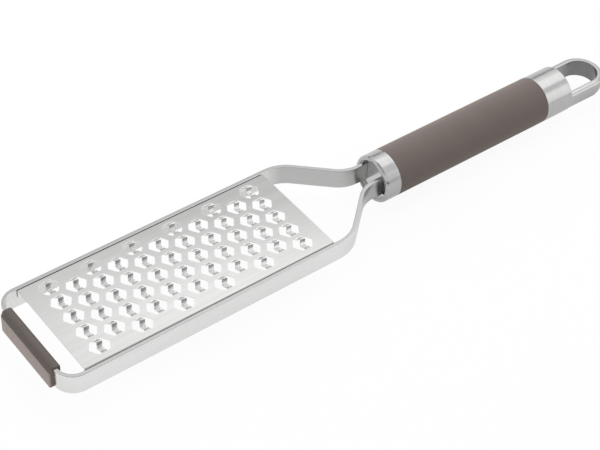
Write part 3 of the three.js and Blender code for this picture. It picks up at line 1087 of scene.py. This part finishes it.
class GRATER_OT_cap(bpy.types.Operator):
    """Makes the end cap with its hanging loop"""

    bl_idname = "grater.cap"
    bl_label = "End cap and loop"

    def execute(self, context):
        settings = context.scene.grater_handle
        top = settings.loop_height / 2 - settings.loop_drop
        bottom = top - settings.loop_height
        eye = settings.eye_width / 2
        step_x = cap_low.x + settings.cap_length
        turn_x = cap_high.x - HANDLE_RADIUS
        top_angle, top_edge = flat_fillet(top, settings.loop_edge)
        low_angle, low_edge = flat_fillet(bottom, settings.loop_edge)

        outer = arc((0, 0), HANDLE_RADIUS, low_angle, top_angle, BEND_STEP)
        inner = rounded_line([
            (*top_edge[-1], 0),
            (eye, top, settings.eye_edge),
            (eye, bottom, settings.eye_edge),
            (*low_edge[-1], 0),
        ], COARSE_STEP)
        section = [*outer, *top_edge[1:], *inner[1:-1], *low_edge[::-1][:-1]]

        def ring_at(x, turn):
            """The loop's section, turned about the upright axis through the loop's round end."""
            place = Vector((x, 0, HANDLE_AXIS))
            out = Vector((math.sin(turn), math.cos(turn), 0))
            return [place + out * point.x + Vector((0, 0, point.y)) for point in section]

        turns = [math.pi * i / LOOP_STEPS for i in range(LOOP_STEPS + 1)]
        loop = [ring_at(step_x, 0), *(ring_at(turn_x, turn) for turn in turns), ring_at(step_x, math.pi)]
        bm = bmesh.new()
        loft(bm, loop)

        over = arc((0, 0), HANDLE_RADIUS, top_angle, math.pi - top_angle, BEND_STEP)
        under = arc((0, 0), HANDLE_RADIUS, -math.pi - low_angle, low_angle, BEND_STEP)
        mirrored = [Vector((-point.x, point.y)) for point in outer[::-1]]
        circle = [*outer[:-1], *over[:-1], *mirrored[:-1], *under[:-1]]
        top_flat = math.atan2(top, top_edge[-1].x)
        low_flat = math.atan2(bottom, low_edge[-1].x)

        def softness(point):
            """One on the step above and below the loop, fading to nothing where the loop's flats start."""
            angle = math.atan2(point.y, abs(point.x))
            past = angle - top_flat if angle > 0 else low_flat - angle
            return min(1.0, max(0.0, past / STEP_REACH))

        def ring(x, radius, inset=0.0):
            """A ring of the cap, drawn in by an inset above and below the loop."""
            scale = [(radius - inset * softness(point)) / HANDLE_RADIUS for point in circle]
            return [Vector((x, p.x * s, HANDLE_AXIS + p.y * s)) for p, s in zip(circle, scale)]

        bore, seam = HANDLE_RADIUS - settings.grip_wall, settings.seam_edge
        socket = cap_low.x + settings.socket
        profile = rounded_line([
            (socket + settings.rod_depth, settings.rod_hole, 0),
            (socket, settings.rod_hole, 0),
            (socket, bore, 0),
            (cap_low.x, bore, seam),
            (cap_low.x, HANDLE_RADIUS, seam),
            (step_x - settings.cap_edge, HANDLE_RADIUS, 0),
        ], COARSE_STEP)
        rings = [ring(x, radius) for x, radius in profile]
        edge = settings.cap_edge
        for turn in quarter_turn(EDGE_STEPS)[1:]:
            x = step_x - edge * (1 - math.sin(turn))
            rings.append(ring(x, HANDLE_RADIUS, edge * (1 - math.cos(turn))))
        loft(bm, rings)
        bm.faces.new([bm.verts.new(point) for point in rings[0]])

        start = len(outer) - 1
        last = rings[-1]
        over_part = last[start:start + len(over)]
        under_part = last[start + len(over) + len(outer) - 2:] + last[:1]
        near_part = ring_at(step_x, 0)[len(outer):]
        far_part = ring_at(step_x, math.pi)[len(outer):]
        rear_face = [*over_part, *far_part, *under_part, *near_part[::-1]]
        bm.faces.new([bm.verts.new(point) for point in rear_face])
        cap = add_object("end_cap", closed_mesh("end_cap", bm))

        def painted_shade_at(point):
            """Painted shade: darker on the eye's wall and down the loop's outer side, from the step on."""
            place = point.co
            if place.x < step_x + WELD:
                return 0.0
            if math.hypot(max(place.x - turn_x, 0.0), place.y) < eye + WELD:
                return settings.eye_painted_shade - 1
            depth = (HANDLE_AXIS + top - place.z) / settings.loop_height
            return (settings.loop_painted_shade - 1) * min(1.0, max(0.0, depth))

        mark(cap.data, painted_shade_at)
        dress(cap, turned_steel(settings), "turned_steel", "rear_cap")
        return {"FINISHED"}


class GRATER_OT_inner_parts(bpy.types.Operator):
    """Finishes the parts inside the handle, whose solids are shown as they are"""

    bl_idname = "grater.inner_parts"
    bl_label = "Parts inside the handle"

    def execute(self, context):
        settings = context.scene.grater_handle
        steel = brushed_steel(
            "machined_steel", settings.inner_tone, settings.inner_roughness, MACHINED_GRAIN
        )
        plastic = moulded_plastic("matte_core", settings.core_tone, settings.core_roughness)
        for node, material in (("tang_block", steel), ("tie_rod", steel), ("handle_core", plastic)):
            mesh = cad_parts[node].data
            mesh.materials.clear()
            mesh.materials.append(material)
        return {"FINISHED"}


# Stage

FLOOR_REACH = 6.0
FLOOR_DROP = 0.1 * MM
SENSOR_WIDTH = 36.0
CLIP_NEAR, CLIP_FAR = 0.01, 50.0

# How the light overhead is turned about the upright axis, and the edges over which its card sets in
OVERHEAD_TURN = math.radians(-17.1)
OVERHEAD_FADE_X = (-0.589, 0.081)
OVERHEAD_FADE_Y = (0.179, -0.026)

# Brightness of the two smaller lights, next to the light overhead
REAR_SHARE = 0.6
FRONT_SHARE = 0.8

# The brightness that the left card has at its right end and further left, and where it changes
DUSKY_RANGE = (1.3, 0.55)
DUSKY_FADE = (0.5, 0.12)
FRONT_FADE = (0.4, 1.3)


def seen_white(tree, shown=1.0, mirrored=1.0):
    """A share of plain white for camera and transmission rays, one for glossy rays, else nothing."""
    light = add_node(tree, "ShaderNodeLightPath")
    straight = add_node(tree, "ShaderNodeMath", operation="MAXIMUM")
    tree.links.new(light.outputs["Is Camera Ray"], straight.inputs[0])
    tree.links.new(light.outputs["Is Transmission Ray"], straight.inputs[1])
    parts = []
    rays = ((straight.outputs["Value"], shown), (light.outputs["Is Glossy Ray"], mirrored))
    for source, share in rays:
        part = add_node(tree, "ShaderNodeMath", operation="MULTIPLY")
        part.inputs[1].default_value = share
        tree.links.new(source, part.inputs[0])
        parts.append(part.outputs["Value"])
    either = add_node(tree, "ShaderNodeMath", operation="MAXIMUM")
    tree.links.new(parts[0], either.inputs[0])
    tree.links.new(parts[1], either.inputs[1])
    return either.outputs["Value"]


def bare_material(name):
    """A material whose node tree is empty."""
    material, tree, _ = new_material(name)
    tree.nodes.clear()
    return material, tree


def floor_material(settings):
    """A pale matte floor that shows white, with a share of the shadow."""
    material, tree = bare_material("pale_floor")
    matte = add_node(tree, "ShaderNodeBsdfDiffuse")
    matte.inputs["Color"].default_value = (*settings.floor_tone, 1.0)
    glow = add_node(tree, "ShaderNodeEmission")
    glow.inputs["Strength"].default_value = 1.0
    mix = add_node(tree, "ShaderNodeMixShader")
    outlet = add_node(tree, "ShaderNodeOutputMaterial")
    white = seen_white(tree, 1 - settings.shadow, 1 - settings.mirrored_shadow)
    tree.links.new(white, mix.inputs["Fac"])
    tree.links.new(matte.outputs["BSDF"], mix.inputs[1])
    tree.links.new(glow.outputs["Emission"], mix.inputs[2])
    tree.links.new(mix.outputs["Shader"], outlet.inputs["Surface"])
    return material


def make_world(settings):
    """Plain light from all round, which the camera and metal see as white."""
    world = bpy.data.worlds.new("studio")
    world.use_nodes = True
    tree = world.node_tree
    tree.nodes.clear()
    mix = add_node(tree, "ShaderNodeMixShader")
    for socket, strength in ((mix.inputs[1], settings.ambient), (mix.inputs[2], 1.0)):
        light = add_node(tree, "ShaderNodeBackground")
        light.inputs["Color"].default_value = (1.0, 1.0, 1.0, 1.0)
        light.inputs["Strength"].default_value = strength
        tree.links.new(light.outputs["Background"], socket)
    outlet = add_node(tree, "ShaderNodeOutputWorld")
    tree.links.new(seen_white(tree), mix.inputs["Fac"])
    tree.links.new(mix.outputs["Shader"], outlet.inputs["Surface"])
    bpy.context.scene.world = world


def add_softbox(name, place, target, size, brightness, mirrored=True, lighting=True, turn=0.0):
    """A rectangular lamp whose face has the given brightness, turned about its own axis."""
    lamp = bpy.data.lights.new(name, "AREA")
    lamp.shape = "RECTANGLE"
    lamp.size, lamp.size_y = size
    lamp.energy = brightness * math.pi * size[0] * size[1]
    obj = add_object(name, lamp)
    obj.location = place
    aimed = (Vector(target) - Vector(place)).to_track_quat("-Z", "Y")
    obj.rotation_euler = (aimed @ Quaternion((0, 0, 1), turn)).to_euler()
    obj.visible_glossy = mirrored
    obj.visible_diffuse = lighting


def level_sheet(x, y, z):
    """Corners of a level rectangle from (low, high) along x and y."""
    return [(x[0], y[0], z), (x[1], y[0], z), (x[1], y[1], z), (x[0], y[1], z)]


def upright_sheet(x, y, z):
    """Corners of an upright rectangle from (low, high) along x and z."""
    return [(x[0], y, z[0]), (x[1], y, z[0]), (x[1], y, z[1]), (x[0], y, z[1])]


def add_card(name, corners, material, place=(0.0, 0.0, 0.0), turn=0.0):
    """A card that only metal and gloss can see."""
    mesh = bpy.data.meshes.new(name)
    mesh.from_pydata(corners, [], [range(len(corners))])
    mesh.materials.append(material)
    card = add_object(name, mesh)
    card.location = place
    card.rotation_euler.z = turn
    card.visible_camera = False
    card.visible_diffuse = False
    card.visible_transmission = False
    card.visible_volume_scatter = False
    card.visible_shadow = False


def card_material(name, low, high, fades=()):
    """A glow that goes from low to high along each fade (axis, start, end) of the card."""
    material, tree = bare_material(name)
    glow = add_node(tree, "ShaderNodeEmission")
    glow.inputs["Strength"].default_value = high
    outlet = add_node(tree, "ShaderNodeOutputMaterial")
    tree.links.new(glow.outputs["Emission"], outlet.inputs["Surface"])
    if not fades:
        return material
    place = add_node(tree, "ShaderNodeTexCoord")
    parts = add_node(tree, "ShaderNodeSeparateXYZ")
    tree.links.new(place.outputs["Object"], parts.inputs["Vector"])
    product = None
    for axis, start, end in fades:
        change = add_node(tree, "ShaderNodeMapRange", interpolation_type="SMOOTHSTEP")
        change.inputs["From Min"].default_value = start
        change.inputs["From Max"].default_value = end
        tree.links.new(parts.outputs[axis], change.inputs["Value"])
        share = change.outputs["Result"]
        if product:
            both = add_node(tree, "ShaderNodeMath", operation="MULTIPLY")
            tree.links.new(product, both.inputs[0])
            tree.links.new(share, both.inputs[1])
            share = both.outputs["Value"]
        product = share
    level = add_node(tree, "ShaderNodeMapRange")
    level.inputs["To Min"].default_value = low
    level.inputs["To Max"].default_value = high
    tree.links.new(product, level.inputs["Value"])
    tree.links.new(level.outputs["Result"], glow.inputs["Strength"])
    return material


def add_floor(settings):
    bm = bmesh.new()
    bmesh.ops.create_grid(bm, x_segments=1, y_segments=1, size=FLOOR_REACH)
    mesh = bpy.data.meshes.new("floor")
    bm.to_mesh(mesh)
    bm.free()
    mesh.materials.append(floor_material(settings))
    floor = add_object("floor", mesh)
    floor.location.z = -FLOOR_DROP


def add_lamps(settings):
    """Soft lamps, of which metal mirrors only two."""
    add_softbox(
        "overhead", place=(0.4945, 0.3413, 1.0), target=(0.4945, 0.3413, 0.0), size=(1.356, 0.922),
        brightness=settings.overhead, mirrored=False, turn=OVERHEAD_TURN,
    )
    add_softbox(
        "overhead_rear", place=(1.05, 0.93, 1.0), target=(1.05, 0.93, 0.0), size=(0.5, 0.42),
        brightness=settings.overhead * REAR_SHARE,
    )
    add_softbox(
        "front", place=(1.39, -1.0, 0.62), target=(0.15, 0.0, 0.62), size=(0.9, 1.2),
        brightness=settings.overhead * FRONT_SHARE, lighting=False,
    )
    add_softbox(
        "top", place=(0.15, 0.1, 0.5), target=(0.15, 0.1, 0.0), size=(0.5, 0.4),
        brightness=settings.top, mirrored=False,
    )
    add_softbox(
        "side", place=(-1.6, -0.1, 0.12), target=(0.0, 0.0, 0.0), size=(1.2, 0.9),
        brightness=settings.side, mirrored=False,
    )
    add_softbox(
        "rear", place=(0.5, 1.5, 0.6), target=(0.0, 0.0, 0.0), size=(1.4, 0.9),
        brightness=settings.rear, mirrored=False,
    )


def add_cards(settings):
    """Cards that the steel mirrors: a bright one overhead, a dusky one on the left, and two dark ones."""
    fades = [("X", *OVERHEAD_FADE_X), ("Y", *OVERHEAD_FADE_Y)]
    soft = card_material("soft_card", 1.0, 1.0 + settings.overhead, fades)
    dusky = card_material("dusky_card", *DUSKY_RANGE, [("X", *DUSKY_FADE)])
    fading = card_material("fading_card", settings.card, 1.0, [("X", *FRONT_FADE)])
    dark = card_material("dark_card", settings.card, settings.card)
    overhead = level_sheet((OVERHEAD_FADE_X[0], 0.832), (-0.81, OVERHEAD_FADE_Y[0]), 0.0)
    add_card("overhead_card", overhead, soft, place=(0.45, 0.72, 1.0), turn=OVERHEAD_TURN)
    add_card("left_card", level_sheet((-0.9, 0.52), (-0.9, 0.3), 0.95), dusky)
    add_card("front_card", upright_sheet((-1.5, 2.5), -1.6, (0.0, 0.3)), fading)
    add_card("rear_card", upright_sheet((-1.5, 2.5), 1.8, (0.66, 0.9)), dark)


def add_camera(settings):
    lens = bpy.data.cameras.new("camera")
    lens.lens = settings.lens
    lens.sensor_width = SENSOR_WIDTH
    lens.sensor_fit = "HORIZONTAL"
    lens.clip_start, lens.clip_end = CLIP_NEAR, CLIP_FAR
    camera = add_object("camera", lens)
    azimuth, elevation = settings.azimuth, settings.elevation
    level = math.cos(elevation)
    back = Vector((math.sin(azimuth) * level, -math.cos(azimuth) * level, math.sin(elevation)))
    upright = back.to_track_quat("Z", "Y").to_matrix()
    tilted = upright @ Matrix.Rotation(settings.roll, 3, "Z")
    camera.matrix_world = Matrix.Translation(settings.eye) @ tilted.to_4x4()
    return camera


class GRATER_OT_stage(bpy.types.Operator):
    """Sets the floor, the light and the camera"""

    bl_idname = "grater.stage"
    bl_label = "Stage"

    def execute(self, context):
        scene = context.scene
        settings = scene.grater_stage
        add_floor(settings)
        make_world(settings)
        add_lamps(settings)
        add_cards(settings)
        camera = add_camera(settings)
        scene.camera = camera
        scene.view_settings.view_transform = "Standard"
        return {"FINISHED"}


class GRATER_PT_panel(bpy.types.Panel):
    """Lists what makes the grater"""

    bl_label = "Hand grater"
    bl_idname = "GRATER_PT_panel"
    bl_space_type = "VIEW_3D"
    bl_region_type = "UI"
    bl_category = "Grater"

    def draw(self, context):
        for operator in OPERATORS:
            self.layout.operator(operator.bl_idname)


OPERATORS = (
    GRATER_OT_plate,
    GRATER_OT_strip,
    GRATER_OT_foot,
    GRATER_OT_collar,
    GRATER_OT_grip,
    GRATER_OT_cap,
    GRATER_OT_inner_parts,
    GRATER_OT_stage,
)

SETTINGS = {
    "grater_plate": PlateSettings,
    "grater_strip": StripSettings,
    "grater_foot": FootSettings,
    "grater_handle": HandleSettings,
    "grater_stage": StageSettings,
}


def register():
    for name, group in SETTINGS.items():
        bpy.utils.register_class(group)
        setattr(bpy.types.Scene, name, PointerProperty(type=group))
    for cls in (*OPERATORS, GRATER_PT_panel):
        bpy.utils.register_class(cls)


def unregister():
    for cls in (GRATER_PT_panel, *OPERATORS[::-1]):
        bpy.utils.unregister_class(cls)
    for name, group in SETTINGS.items():
        delattr(bpy.types.Scene, name)
        bpy.utils.unregister_class(group)


def main():
    register()
    bpy.ops.grater.plate()
    bpy.ops.grater.strip()
    bpy.ops.grater.foot()
    bpy.ops.grater.collar()
    bpy.ops.grater.grip()
    bpy.ops.grater.cap()
    bpy.ops.grater.inner_parts()
    bpy.ops.grater.stage()


if __name__ == "__main__":
    main()
